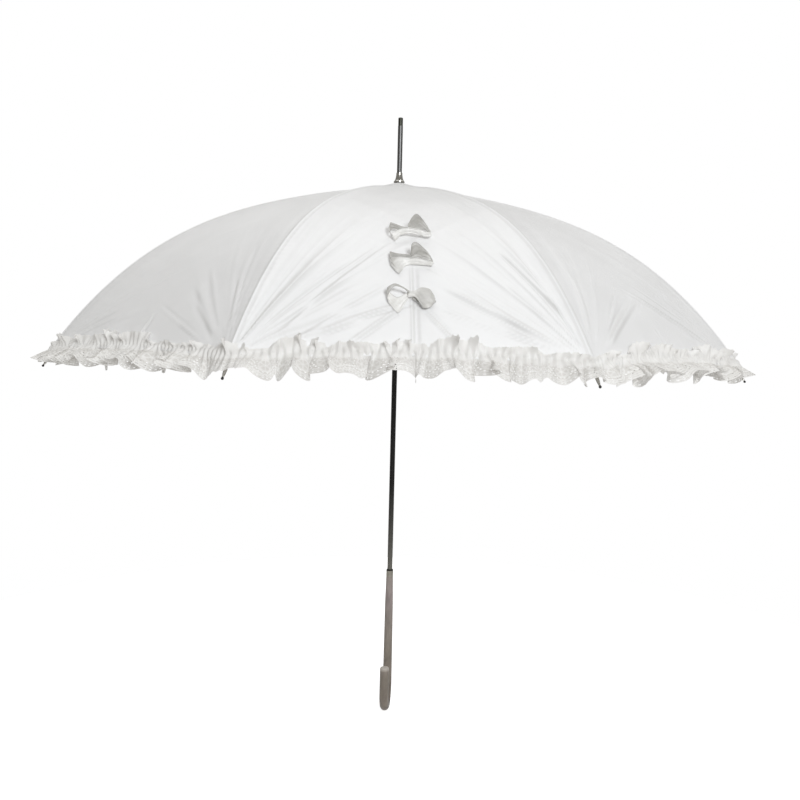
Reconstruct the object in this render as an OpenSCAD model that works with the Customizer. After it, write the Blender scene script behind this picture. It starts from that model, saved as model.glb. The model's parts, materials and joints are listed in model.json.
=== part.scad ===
// Satin parasol with a lace frill and three bows: eight ribs fold on a sliding runner.
// +Z runs up the shaft, the bowed panel and the crook face -Y, and the origin is at the middle of the grip.

/* [Canopy] */
// Distance from the shaft's axis to a rib's tip, open
canopy_radius = 450; // [400:5:500]
// Height of the cloth's apex above the middle of the grip
apex_z = 615; // [560:5:680]
// Slope of the dome at the crown, in mm down per mm out
crown_slope = 0.205; // [0.15:0.005:0.25]
// Extra drop at the tip that the curve of the dome adds, as a share of the radius
dome_drop = 0.346; // [0.25:0.002:0.4]
// How late the dome turns down: the power of its curve
dome_power = 3.83; // [3:0.01:4.5]
// How much nearer the shaft the hem runs at mid-panel than at the ribs
hem_rise = 4; // [2:1:24]
// Thickness of a cloth panel
cloth = 1.2; // [0.8:0.1:2]

/* [Frame] */
// Number of ribs and panels
ribs = 8; // [8]
// Depth of a rib, along the line that it bends in
rib_depth = 2.8; // [2.4:0.1:3.2]
// Width of a rib or a stretcher
rib_width = 2.2; // [1.8:0.1:2.4]
// Depth of the middle of a rib under the top of the cloth, square to it
rib_sink = 4.3; // [4.2:0.1:5]
// Radius of the circle of crown hinges, and of runner hinges
hinge_radius = 7.5; // [7:0.1:8]
// Distance from the shaft's axis to the rivet between rib and stretcher, open
rivet_radius = 200; // [180:5:220]
// Angle that a rib turns through from open to closed
fold_angle = 60; // [50:1:60]

/* [Shaft and ferrule] */
// Outer radius of the shaft tube
shaft_r = 3.5; // [3.5:0.1:4]
// Wall of the shaft tube
shaft_wall = 0.7; // [0.6:0.05:0.8]
// Height of the top of the ferrule above the apex
ferrule_h = 87; // [70:1:110]
// Radius of the ferrule's rod
ferrule_r = 3.3; // [3:0.05:3.4]
// Radius of the bell under the ferrule, at its rim
bell_r = 7.3; // [6.5:0.1:8]

/* [Handle] */
// Distance from the apex down to the handle's collar
handle_drop = 529; // [520:1:560]
// Radius of the handle under its collar
neck_r = 4.7; // [4.5:0.1:5.2]
// Radius of the handle's crook
crook_r = 6.1; // [5.5:0.1:6.8]
// Radius of the crook's bend, at the middle of the bar
bend_r = 24; // [20:1:30]
// Distance from the apex down to the lowest point of the crook
crook_drop = 718; // [700:1:760]
// Height of the crook's end above its lowest point
crook_rise = 67; // [50:1:90]
// Turn of the crook from the middle of the front panel
handle_turn = -7; // [-30:1:30]

/* [Trim] */
// Height of the lace frill above the hem and below it
frill_up = 10; // [8:1:18]
// Drop of the lace frill below the hem
frill_down = 26; // [15:1:35]
// Share of that drop that the frill loses at the ribs
frill_pinch = 0.45; // [0:0.05:0.7]
// Thickness of the gathered frill
frill_t = 4; // [2:0.5:6]
// Width of a bow across its loops
bow_w = 46; // [36:1:52]
// Height of a bow's loops at their outer edges
bow_h = 24; // [16:1:28]
// How far a bow's loops puff out from the cloth
bow_t = 9; // [5:0.5:12]
// Width of the tie strap
strap_w = 18; // [12:1:24]

/* [Hidden] */
half_panel = 180 / ribs;
panel_step = 360 / ribs;
hem_r = canopy_radius - 9;
rib_end_r = canopy_radius - 8;
crown_z = rib_z(hinge_radius);
rivet_z = rib_z(rivet_radius);
link = norm([rivet_radius - hinge_radius, rivet_z - crown_z]);
open_slope = atan2(crown_z - rivet_z, rivet_radius - hinge_radius);
runner_z = crown_z - 2 * link * sin(open_slope);
closed_runner_z = crown_z - 2 * link * sin(open_slope + fold_angle);
wire_r = 0.5;
wire_bore_r = 0.58;
eye_r = 1.7;
eye_t = 1.3;
lap = 0.5;
hub_r = 9.5;
hub_h = 4.4;
hub_slot = 1.7;
tongue = 6;
rivet_r = 0.9;
rivet_bore_r = 0.95;
rivet_head_r = 1.5;
rivet_head_t = 0.4;
rivet_head_gap = 0.15;
fork_gap = 2.7;
fork_w = 4.3;
fork_reach = 9;
fork_depth = 2.6;
fork_eye_r = 1.9;
fork_root = 3;
link_depth = 2.2;
link_eye_depth = 2;
sleeve_r = 5;
sleeve_bore_r = shaft_r + 0.08;
sleeve_down = 44;
grip_flange_r = 6.4;
window_drop = 31;
window_w = 2.4;
window_h = 13;
tooth_r = 6;
tooth_up = 4;
tooth_edge = 1.5;
tooth_down = 5;
spring_t = 1.2;
spring_w = 1;
spring_lever = 34;
spring_y = 1.5;
spring_eye_r = 1.1;
spring_bore_r = 0.6;
pin_r = 0.5;
pin_lap = 0.2;
shaft_top_z = apex_z - 1;
shaft_in_handle = 28;
ferrule_in_shaft = 16;
collar_h = 8;
ring_h = 2;
collar_z = apex_z - handle_drop;
handle_top_z = collar_z - ring_h - collar_h;
handle_swell = 34;
bend_z = apex_z - crook_drop + bend_r + crook_r;
crook_end_z = apex_z - crook_drop + crook_rise;
bell_h = 13;
bell_lip = 1.2;
bell_gap = 0.6;
cap_h = 11;
tip_cup = 9;
tip_root_r = 1.9;
tip_neck_r = 1.2;
tip_ball_r = 1.6;
crown_hole_r = 5;
seam_gap = 0.35;
strap_from_r = 300;
strap_to_r = 420;
strap_t = 1.3;
strap_gap = 0.9;
stud_r = 5;
stud_t = 1.6;
bow_places = [302, 349, 395];
bow_gap = 1;
knot_w = 10;
knot_h = 8;
frill_reach = 0.98;
frill_gap = 1;
frill_swing = 3;
panel_rows = 14;
panel_cols = 8;
frill_cols = 10;
rib_steps = 40;
round_fn = 48;
wire_fn = 96;

// Drop of the dome below its apex, at a distance from the shaft's axis along a rib
function dome(r) = crown_slope * r + dome_drop * canopy_radius * pow(r / canopy_radius, dome_power);

// Slope of the dome there, in mm down per mm out
function slope(r) = crown_slope + dome_drop * dome_power * pow(r / canopy_radius, dome_power - 1);

// Height of the cloth's top face
function cloth_z(r) = apex_z - dome(r);

// Height of a line under it, at a depth that is square to the cloth
function under_z(r, depth) = cloth_z(r) - depth * sqrt(1 + pow(slope(r), 2));

// Height of the middle of a rib
function rib_z(r) = under_z(r, rib_sink);

// Evenly spaced values, both ends included
function steps(from, to, count) = [for (i = [0:count]) from + (to - from) * i / count];

// Outline of a strip that follows the dome, from below its top face by two depths
function strip(radii, top, bottom, squeeze = 1) = concat(
    [for (r = radii) [r * squeeze, under_z(r, top)]],
    [for (i = [len(radii) - 1:-1:0]) [radii[i] * squeeze, under_z(radii[i], bottom)]]);

// Distance of the hem from the axis, measured along the ribs, with t from -1 to 1 across a panel
function hem(t) = hem_r - hem_rise * (1 - t * t);

// A point of the dome above a panel: t runs across it, and lift raises the point
function on_panel(r, t, lift = 0) =
    [r * cos(half_panel), t * (r * sin(half_panel) - seam_gap), cloth_z(r) + lift];

// Turns a part made along +X to a bearing counted from -Y towards +X
module bearing(angle) {
    rotate([0, 0, angle - 90]) children();
}

// Bearing of a rib, and of the panel between it and the next rib
function rib_bearing(k) = (k - 1.5) * panel_step;
function panel_bearing(k) = (k - 1) * panel_step;

// Stands an outline drawn in X and Z upright, with its thickness shared to both sides of Y = 0
module upright(thickness) {
    rotate([90, 0, 0]) linear_extrude(thickness, center = true) children();
}

// Bar or pin along Y at a place in X and Z
module cross_pin(x, z, r, length) {
    translate([x, 0, z]) rotate([90, 0, 0]) cylinder(h = length, r = r, center = true, $fn = round_fn);
}

// Closed shell between an upper and a lower grid of points, rows out along +X and columns along +Y
module shell(upper, lower) {
    rows = len(upper);
    cols = len(upper[0]);
    points = [for (grid = [upper, lower]) for (row = grid) for (p = row) p];
    function at(layer, i, j) = (layer * rows + i) * cols + j;
    faces = concat(
        [for (i = [0:rows - 2]) for (j = [0:cols - 2]) for (f = [
            [at(0, i, j), at(0, i, j + 1), at(0, i + 1, j + 1)],
            [at(0, i, j), at(0, i + 1, j + 1), at(0, i + 1, j)],
            [at(1, i, j), at(1, i + 1, j), at(1, i + 1, j + 1)],
            [at(1, i, j), at(1, i + 1, j + 1), at(1, i, j + 1)]]) f],
        [for (i = [0:rows - 2]) for (f = [
            [at(0, i, 0), at(0, i + 1, 0), at(1, i + 1, 0)],
            [at(0, i, 0), at(1, i + 1, 0), at(1, i, 0)],
            [at(0, i + 1, cols - 1), at(0, i, cols - 1), at(1, i, cols - 1)],
            [at(0, i + 1, cols - 1), at(1, i, cols - 1), at(1, i + 1, cols - 1)]]) f],
        [for (j = [0:cols - 2]) for (f = [
            [at(0, 0, j + 1), at(0, 0, j), at(1, 0, j)],
            [at(0, 0, j + 1), at(1, 0, j), at(1, 0, j + 1)],
            [at(0, rows - 1, j), at(0, rows - 1, j + 1), at(1, rows - 1, j + 1)],
            [at(0, rows - 1, j), at(1, rows - 1, j + 1), at(1, rows - 1, j)]]) f]);
    polyhedron(points = points, faces = faces, convexity = 6);
}

// Ring of wire that the rib or stretcher eyes turn on
module wire_ring(z, r) {
    translate([0, 0, z])
        rotate_extrude($fn = wire_fn) translate([hinge_radius, 0]) circle(r = r, $fn = 24);
}

// Slotted hub that holds a ring of wire, with its slots cut in to a radius
module slotted_hub(z, bore, slot_from) {
    difference() {
        translate([0, 0, z - hub_h / 2]) cylinder(h = hub_h, r = hub_r, $fn = wire_fn);
        translate([0, 0, z - hub_h]) cylinder(h = 2 * hub_h, r = bore, $fn = wire_fn);
        wire_ring(z, wire_r + 0.02);
        for (k = [1:ribs])
            bearing(rib_bearing(k))
                translate([slot_from, -hub_slot / 2, z - hub_h]) cube([hub_r, hub_slot, 2 * hub_h]);
    }
}

// Eye at the origin of a link's own frame, with a flat tongue to where the link's bar starts
module eye(tongue_depth) {
    difference() {
        union() {
            cross_pin(0, 0, eye_r, eye_t);
            translate([0, -eye_t / 2, -tongue_depth / 2]) cube([tongue + lap, eye_t, tongue_depth]);
        }
        cross_pin(0, 0, wire_bore_r, 2 * eye_t);
    }
}

// Leaf spring with a tooth, hung on a pin inside the shaft: flat on top, sloped below
module catch_spring(z) {
    leaf = spring_w / 2;
    tip = tooth_r - spring_y;
    translate([0, spring_y, z]) rotate([90, 0, 90]) linear_extrude(spring_t, center = true) difference() {
        union() {
            translate([0, spring_lever]) circle(r = spring_eye_r, $fn = round_fn);
            polygon([[-leaf, spring_lever], [leaf, spring_lever], [leaf, tooth_up], [tip, tooth_up],
                [tip, tooth_up - tooth_edge], [leaf, -tooth_down], [-leaf, -tooth_down]]);
        }
        translate([0, spring_lever]) circle(r = spring_bore_r, $fn = round_fn);
    }
}

// Cut in the shaft that a spring's tooth looks out of
module tooth_slot(z) {
    w = spring_t + 0.6;
    translate([-w / 2, 0, z - tooth_down - 2]) cube([w, 2 * shaft_r, tooth_down + tooth_up + 4]);
}

// Pin inside the shaft that a spring hangs on
module spring_pin(z) {
    half = shaft_r - pin_lap;
    translate([-half, spring_y, z + spring_lever]) rotate([0, 90, 0])
        cylinder(h = 2 * half, r = pin_r, $fn = round_fn);
}

module shaft_tube() {
    top_tooth = runner_z - window_drop;
    low_tooth = closed_runner_z - window_drop;
    foot = handle_top_z - shaft_in_handle;
    color("dimgray") {
        difference() {
            translate([0, 0, foot]) cylinder(h = shaft_top_z - foot, r = shaft_r, $fn = round_fn);
            translate([0, 0, foot - 1])
                cylinder(h = shaft_top_z - foot + 2, r = shaft_r - shaft_wall, $fn = round_fn);
            tooth_slot(top_tooth);
            tooth_slot(low_tooth);
        }
        intersection() {
            union() {
                spring_pin(top_tooth);
                spring_pin(low_tooth);
            }
            translate([0, 0, foot]) cylinder(h = shaft_top_z - foot, r = shaft_r - 0.1, $fn = round_fn);
        }
    }
}

module ferrule() {
    rod_from = apex_z + bell_h + 1;
    rod_to = apex_z + ferrule_h - cap_h;
    spigot_r = shaft_r - shaft_wall - 0.04;
    color("silver") {
        translate([0, 0, shaft_top_z - ferrule_in_shaft])
            cylinder(h = ferrule_in_shaft + 1, r = spigot_r, $fn = round_fn);
        translate([0, 0, shaft_top_z]) cylinder(h = rod_from - shaft_top_z, r = shaft_r, $fn = round_fn);
        translate([0, 0, rod_from]) cylinder(h = rod_to - rod_from, r = ferrule_r, $fn = round_fn);
    }
}

module ferrule_cap() {
    cap_r = ferrule_r - 0.2;
    edge = 0.8;
    color("#5c5c58") translate([0, 0, apex_z + ferrule_h - cap_h]) rotate_extrude($fn = round_fn)
        union() {
            square([cap_r, cap_h - edge]);
            square([cap_r - edge, cap_h]);
            translate([cap_r - edge, cap_h - edge]) circle(r = edge, $fn = 24);
        }
}

module bell() {
    flare = bell_r - shaft_r - bell_gap;
    color("silver") translate([0, 0, apex_z + bell_gap]) rotate_extrude($fn = round_fn) difference() {
        square([bell_r, bell_h]);
        translate([-1, -1]) square([shaft_r + 1.05, bell_h + 2]);
        translate([bell_r + 1, bell_h]) scale([flare + 1, bell_h - bell_lip]) circle(r = 1, $fn = 64);
    }
}

module crown_hub() {
    color("silver") slotted_hub(crown_z, shaft_r + 0.03, 4.6);
}

module crown_wire() {
    color("silver") wire_ring(crown_z, wire_r);
}

module runner() {
    foot = runner_z - sleeve_down;
    color("#2b2b2b") difference() {
        union() {
            slotted_hub(runner_z, sleeve_bore_r, sleeve_r + 0.3);
            translate([0, 0, foot]) cylinder(h = sleeve_down + hub_h / 2, r = sleeve_r, $fn = round_fn);
            translate([0, 0, foot]) cylinder(h = 3, r = grip_flange_r, $fn = round_fn);
        }
        translate([0, 0, foot - 1])
            cylinder(h = sleeve_down + hub_h + 2, r = sleeve_bore_r, $fn = round_fn);
        translate([-window_w / 2, 0, runner_z - window_drop - window_h / 2])
            cube([window_w, hub_r, window_h]);
    }
}

module runner_wire() {
    color("silver") wire_ring(runner_z, wire_r);
}

module top_spring() {
    color("silver") catch_spring(runner_z - window_drop);
}

module bottom_spring() {
    color("silver") catch_spring(closed_runner_z - window_drop);
}

// Straight grip that swells below its neck, a half-round bend and an end that turns up, as one bar
module handle() {
    swell_z = handle_top_z - handle_swell;
    edge = 2;
    color("#7d766c") rotate([0, 0, handle_turn]) difference() {
        union() {
            translate([0, 0, swell_z])
                cylinder(h = handle_swell, r1 = crook_r - 0.6, r2 = neck_r, $fn = round_fn);
            translate([0, 0, bend_z])
                cylinder(h = swell_z - bend_z, r1 = crook_r, r2 = crook_r - 0.6, $fn = round_fn);
            translate([0, -bend_r, bend_z]) rotate([-90, 0, 90])
                rotate_extrude(angle = 180, $fn = 96) bend_section();
            translate([0, -2 * bend_r, bend_z]) rotate_extrude($fn = round_fn) crook_end(edge);
        }
        translate([0, 0, handle_top_z - shaft_in_handle - 1])
            cylinder(h = shaft_in_handle + 2, r = shaft_r + 0.03, $fn = round_fn);
    }
}

// Half of the upturned end's section: a bar with a rounded rim
module crook_end(edge) {
    rise = crook_end_z - bend_z;
    square([crook_r, rise - edge]);
    square([crook_r - edge, rise]);
    translate([crook_r - edge, rise - edge]) circle(r = edge, $fn = 32);
}

// Section of the bend, set out from the middle of its turn
module bend_section() {
    translate([bend_r, 0]) circle(r = crook_r, $fn = round_fn);
}

module handle_collar() {
    color("#a4a29a") translate([0, 0, handle_top_z]) difference() {
        cylinder(h = collar_h, r = neck_r + 0.1, $fn = round_fn);
        translate([0, 0, -1]) cylinder(h = collar_h + 2, r = shaft_r + 0.03, $fn = round_fn);
    }
}

module handle_ring() {
    color("#3a3832") translate([0, 0, handle_top_z + collar_h]) rotate_extrude($fn = round_fn)
        translate([shaft_r + 0.03, 0]) polygon([[0, 0], [1.1, 0], [1.1, 1.2], [0.4, ring_h], [0, ring_h]]);
}

// Curved rib with an eye on the crown wire and the rivet of its stretcher
module rib(k) {
    start = hinge_radius + tongue;
    turn = atan(slope(start));
    head_y = fork_w / 2 + rivet_head_gap + rivet_head_t / 2;
    color("silver") bearing(rib_bearing(k)) {
        translate([hinge_radius, 0, crown_z]) rotate([0, turn, 0]) eye(link_depth);
        upright(rib_width) polygon(strip(steps(start, rib_end_r, rib_steps),
            rib_sink - rib_depth / 2, rib_sink + rib_depth / 2));
        cross_pin(rivet_radius, rivet_z, rivet_r, 2 * head_y);
        for (side = [-1, 1])
            translate([0, side * head_y, 0])
                cross_pin(rivet_radius, rivet_z, rivet_head_r, rivet_head_t);
    }
}

// Straight link from the runner's wire up to the rib's rivet, with a fork round the rib
module stretcher(k) {
    bar_from = tongue;
    bar_to = link - fork_reach;
    color("silver") bearing(rib_bearing(k))
        translate([hinge_radius, 0, runner_z]) rotate([0, -open_slope, 0]) {
            eye(link_eye_depth);
            translate([bar_from, -rib_width / 2, -link_depth / 2])
                cube([bar_to - bar_from, rib_width, link_depth]);
            translate([bar_to - fork_root, -fork_w / 2, -fork_depth / 2])
                cube([fork_root + lap, fork_w, fork_depth]);
            difference() {
                union() {
                    cross_pin(link, 0, fork_eye_r, fork_w);
                    translate([bar_to, -fork_w / 2, -fork_depth / 2])
                        cube([fork_reach, fork_w, fork_depth]);
                }
                translate([bar_to + lap, -fork_gap / 2, -fork_depth])
                    cube([2 * fork_reach, fork_gap, 2 * fork_depth]);
                cross_pin(link, 0, rivet_bore_r, 2 * fork_w);
            }
        }
}

// Tapered metal cup with a ball end that pulls the hem out along the rib
module rib_tip(k) {
    tilt = atan(slope(canopy_radius));
    color("silver") bearing(rib_bearing(k))
        translate([rib_end_r, 0, rib_z(rib_end_r)]) rotate([0, 90 + tilt, 0]) {
            translate([0, 0, lap]) cylinder(h = tip_cup, r1 = tip_root_r, r2 = tip_neck_r, $fn = 32);
            translate([0, 0, tip_cup + tip_neck_r]) sphere(r = tip_ball_r, $fn = 32);
        }
}

// Cloth panel between two ribs: straight across, curved down the dome, with a hem that rises at mid-panel
module canopy_panel(k) {
    function row(s, lift) = [for (t = steps(-1, 1, panel_cols))
        on_panel(crown_hole_r + s * (hem(t) - crown_hole_r), t, lift)];
    function face(lift) = [for (s = steps(0, 1, panel_rows)) row(s, lift)];
    color("white") bearing(panel_bearing(k)) shell(face(0), face(-cloth));
}

// Gathered lace along one panel's hem: it stands up on the cloth and hangs below the hem
module lace_frill(k) {
    function out(p, t, away, drop) = p + [away * cos(half_panel * t), away * sin(half_panel * t), -drop];
    function line(t, away) = [
        out(on_panel(hem(t) - frill_up, t), t, frill_gap + away, 0),
        out(on_panel(hem(t), t), t, frill_gap + lap + away, 0),
        out(on_panel(hem(t), t), t, frill_gap + frill_swing + away,
            frill_down * (1 - frill_pinch * pow(t, 4)))];
    function face(away) = [for (i = [0:2])
        [for (t = steps(-1, 1, frill_cols)) line(t * frill_reach, away)[i]]];
    color("white") bearing(panel_bearing(k)) shell(face(frill_t), face(0));
}

// Puffed bow: two flared loops and a knot, laid on the front panel at a distance along the ribs
module bow(place) {
    half_w = bow_w / 2;
    half_h = bow_h / 2;
    knot = [knot_w, knot_h] / 2;
    translate([0, -place * cos(half_panel), cloth_z(place)])
        rotate([atan(slope(place) / cos(half_panel)), 0, 0])
            translate([0, 0, bow_gap]) linear_extrude(bow_t) polygon([
                [-half_w, half_h], [-knot.x, knot.y], [knot.x, knot.y], [half_w, half_h],
                [half_w, -half_h], [knot.x, -knot.y], [-knot.x, -knot.y], [-half_w, -half_h]]);
}

module bow_top() {
    color("white") bow(bow_places[0]);
}

module bow_middle() {
    color("white") bow(bow_places[1]);
}

module bow_bottom() {
    color("white") bow(bow_places[2]);
}

// Band on the rear panel that wraps the closed parasol
module tie_strap() {
    color("white") bearing(180) upright(strap_w)
        polygon(strip(steps(strap_from_r, strap_to_r, panel_rows), -strap_gap - strap_t, -strap_gap,
            cos(half_panel)));
}

module tie_stud() {
    r = strap_to_r - 8;
    tilt = atan(slope(r) / cos(half_panel));
    color("silver") bearing(180)
        translate([r * cos(half_panel), 0, cloth_z(r)]) rotate([0, tilt, 0])
            translate([0, 0, strap_gap + strap_t + 0.15]) cylinder(h = stud_t, r = stud_r, $fn = round_fn);
}

shaft_tube();
ferrule();
ferrule_cap();
bell();
crown_hub();
crown_wire();
runner();
runner_wire();
top_spring();
bottom_spring();
handle();
handle_collar();
handle_ring();
for (k = [1:ribs]) rib(k);
for (k = [1:ribs]) stretcher(k);
for (k = [1:ribs]) rib_tip(k);
for (k = [1:ribs]) canopy_panel(k);
for (k = [1:ribs]) lace_frill(k);
bow_top();
bow_middle();
bow_bottom();
tie_strap();
tie_stud();
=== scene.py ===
"""Looks of the satin parasol: eight satin panels, a gathered lace frill, three ribbon bows and a polished frame.

Lengths are in metres, in the frame of the CAD part: +Z runs up the shaft and the bowed panel faces -Y.
"""

import json
import math

import bpy
import numpy as np
from mathutils import Matrix, Vector


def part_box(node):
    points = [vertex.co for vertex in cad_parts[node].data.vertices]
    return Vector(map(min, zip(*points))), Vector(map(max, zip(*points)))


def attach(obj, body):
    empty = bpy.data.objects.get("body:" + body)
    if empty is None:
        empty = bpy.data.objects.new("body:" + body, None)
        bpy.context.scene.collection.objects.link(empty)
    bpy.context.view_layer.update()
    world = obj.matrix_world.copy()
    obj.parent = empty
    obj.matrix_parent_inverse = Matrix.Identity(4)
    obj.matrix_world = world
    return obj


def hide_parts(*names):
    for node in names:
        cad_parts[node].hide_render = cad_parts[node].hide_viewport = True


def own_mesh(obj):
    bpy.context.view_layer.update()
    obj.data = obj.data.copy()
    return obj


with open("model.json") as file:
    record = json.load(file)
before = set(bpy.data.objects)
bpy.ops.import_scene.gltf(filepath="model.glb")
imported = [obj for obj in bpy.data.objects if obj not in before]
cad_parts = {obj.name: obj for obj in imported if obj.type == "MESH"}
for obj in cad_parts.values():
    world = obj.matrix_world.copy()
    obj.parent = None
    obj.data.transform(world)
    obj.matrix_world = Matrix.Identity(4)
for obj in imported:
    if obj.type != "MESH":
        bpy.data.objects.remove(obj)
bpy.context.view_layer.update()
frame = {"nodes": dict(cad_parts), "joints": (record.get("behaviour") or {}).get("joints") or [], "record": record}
MM = 0.001
UP = np.array([0.0, 0.0, 1.0])

# The dome's curve, as the design has it
PANELS = 8
HALF = math.pi / PANELS
SIN_HALF, COS_HALF = math.sin(HALF), math.cos(HALF)
RADIUS = 0.450
CROWN_SLOPE = 0.205
DOME_DROP = 0.346
DOME_POWER = 3.83
HEM_R = 0.441
HEM_RISE = 0.004
CROWN_R = 0.0042
joints = {j["name"]: j for j in frame["joints"]}
CROWN_Z = joints["canopy_fold"]["pos_m"][2]
HINGE_R = math.hypot(*joints["canopy_fold"]["pos_m"][:2])
FOLD = math.radians(max(joints["canopy_fold"]["range_deg"]))
MOUNT_RISE = 0.045  # of the ferrule_rod mount above the apex
APEX_Z = next(m for m in frame["record"]["mounts"] if m["name"] == "ferrule_rod")["pos_m"][2] - MOUNT_RISE
FLOOR_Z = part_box("handle")[0].z
CROOK_R = 0.0061  # of the crook's bar
CROOK_RISE = 0.067  # of the crook's end above its lowest point


def bearing_axes(angle):
    """The outward and the sideways unit vector at a bearing, which counts from -Y towards +X."""
    out = np.array([math.sin(angle), -math.cos(angle), 0.0])
    side = np.array([math.cos(angle), math.sin(angle), 0.0])
    return out, side


def rib_bearing(k):
    return (k - 1.5) * 2 * HALF


def panel_bearing(k):
    return (k - 1) * 2 * HALF


def smooth(edge0, edge1, x):
    """0 before edge0, 1 after edge1 and a smooth step between."""
    t = np.clip((x - edge0) / (edge1 - edge0), 0, 1)
    return t * t * (3 - 2 * t)


def dome(r):
    return CROWN_SLOPE * r + DOME_DROP * RADIUS * (r / RADIUS) ** DOME_POWER


def dome_slope(r):
    return CROWN_SLOPE + DOME_DROP * DOME_POWER * (r / RADIUS) ** (DOME_POWER - 1)


ARC_R = np.linspace(0, RADIUS, 400)
ARC_S = np.concatenate([[0], np.cumsum(np.hypot(np.diff(ARC_R), np.diff(dome(ARC_R))))])


def arc(r):
    """Length along a rib from the crown."""
    return np.interp(r, ARC_R, ARC_S)


def radius_at(s):
    return np.interp(s, ARC_S, ARC_R)


def hem_radius(t):
    return HEM_R - HEM_RISE * (1 - t * t)


# ---------------------------------------------------------------- materials


def new_material(name):
    material = bpy.data.materials.new(name)
    material.use_nodes = True
    tree = material.node_tree
    return material, tree, tree.nodes["Principled BSDF"]


def set_inputs(shader, **values):
    for name, value in values.items():
        shader.inputs[name.replace("_", " ")].default_value = value


def node(tree, kind, **settings):
    made = tree.nodes.new(kind)
    for name, value in settings.items():
        if name in made.inputs.keys():
            made.inputs[name].default_value = value
        else:
            setattr(made, name, value)
    return made


def coordinates(tree, scale, kind="Object"):
    """Coordinates of the surface, scaled for a texture."""
    source = tree.nodes.new("ShaderNodeTexCoord")
    mapping = tree.nodes.new("ShaderNodeMapping")
    mapping.inputs["Scale"].default_value = scale
    tree.links.new(source.outputs[kind], mapping.inputs["Vector"])
    return mapping.outputs["Vector"]


def ramp(tree, value, stops):
    """A colour ramp with (place, colour) stops, fed by value."""
    made = tree.nodes.new("ShaderNodeValToRGB")
    for _ in stops[2:]:
        made.color_ramp.elements.new(0.5)
    for element, (place, colour) in zip(made.color_ramp.elements, stops):
        element.position = place
        element.color = (*colour, 1)
    tree.links.new(value, made.inputs["Fac"])
    return made.outputs["Color"]


def multiplied(tree, a, b):
    """Two colours multiplied."""
    mix = node(tree, "ShaderNodeMix", data_type="RGBA", blend_type="MULTIPLY")
    mix.inputs["Factor"].default_value = 1.0
    tree.links.new(a, mix.inputs["A"])
    tree.links.new(b, mix.inputs["B"])
    return mix.outputs["Result"]


def grey(v):
    return (v, v, v)


def add_bump(tree, shader, heights, distances):
    """A chain of bumps on a shader; heights are sockets, and distances say how deep each is, in metres."""
    normal = None
    for height, depth in zip(heights, distances):
        bump = node(tree, "ShaderNodeBump", Strength=1.0, Distance=depth)
        tree.links.new(height, bump.inputs["Height"])
        if normal is not None:
            tree.links.new(normal, bump.inputs["Normal"])
        normal = bump.outputs["Normal"]
    tree.links.new(normal, shader.inputs["Normal"])
    return normal


def cloth_material(name, colour, dark, rough, weave, through, sheen, shade, patch=22):
    """Woven cloth: yarn bump along the cut, faint tone changes, and some light that comes through.

    shade is the tone, as a share, where the mesh's shade attribute is 1: painted shade, in creases and in thin net,
    and on the ribbons' loops.
    patch is how many patches of tone there are in a metre.
    """
    material, tree, shader = new_material(name)
    set_inputs(shader, Sheen_Weight=sheen, Sheen_Roughness=0.4, Specular_IOR_Level=0.6)
    tone = node(tree, "ShaderNodeTexNoise", Scale=1.0, Detail=3.0, Roughness=0.6)
    tree.links.new(coordinates(tree, (patch,) * 3), tone.inputs["Vector"])
    colours = ramp(tree, tone.outputs["Fac"], [(0.3, dark), (0.7, colour)])
    shaded = node(tree, "ShaderNodeAttribute", attribute_name="shade")
    shades = ramp(tree, shaded.outputs["Fac"], [(0.0, (1, 1, 1)), (1.0, (shade, shade * 0.99, shade * 0.97))])
    colours = multiplied(tree, colours, shades)
    tree.links.new(colours, shader.inputs["Base Color"])
    gloss = ramp(tree, tone.outputs["Fac"], [(0.25, grey(rough - 0.05)), (0.75, grey(rough + 0.07))])
    tree.links.new(gloss, shader.inputs["Roughness"])
    yarn = node(tree, "ShaderNodeTexWave", Scale=1.0, Distortion=1.2, Detail=2.0)
    yarn.inputs["Detail Scale"].default_value = 2.0
    yarn.bands_direction = "DIAGONAL"
    tree.links.new(coordinates(tree, (weave, weave * 0.3, 1), "UV"), yarn.inputs["Vector"])
    slub = node(tree, "ShaderNodeTexNoise", Scale=1.0, Detail=2.0, Roughness=0.5)
    tree.links.new(coordinates(tree, (260, 60, 1), "UV"), slub.inputs["Vector"])
    normal = add_bump(tree, shader, [yarn.outputs["Fac"], slub.outputs["Fac"]], [0.00004, 0.00012])
    glow = tree.nodes.new("ShaderNodeBsdfTranslucent")
    tree.links.new(colours, glow.inputs["Color"])
    tree.links.new(normal, glow.inputs["Normal"])
    mix = node(tree, "ShaderNodeMixShader", Fac=through)
    tree.links.new(shader.outputs["BSDF"], mix.inputs[1])
    tree.links.new(glow.outputs["BSDF"], mix.inputs[2])
    tree.links.new(mix.outputs["Shader"], tree.nodes["Material Output"].inputs["Surface"])
    return material


METAL_STREAK = (1500, 1500, 12)  # drawing lines in a metre, across and along the rod
METAL_WEAR = 0.04  # extra roughness where metal is smudged


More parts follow.
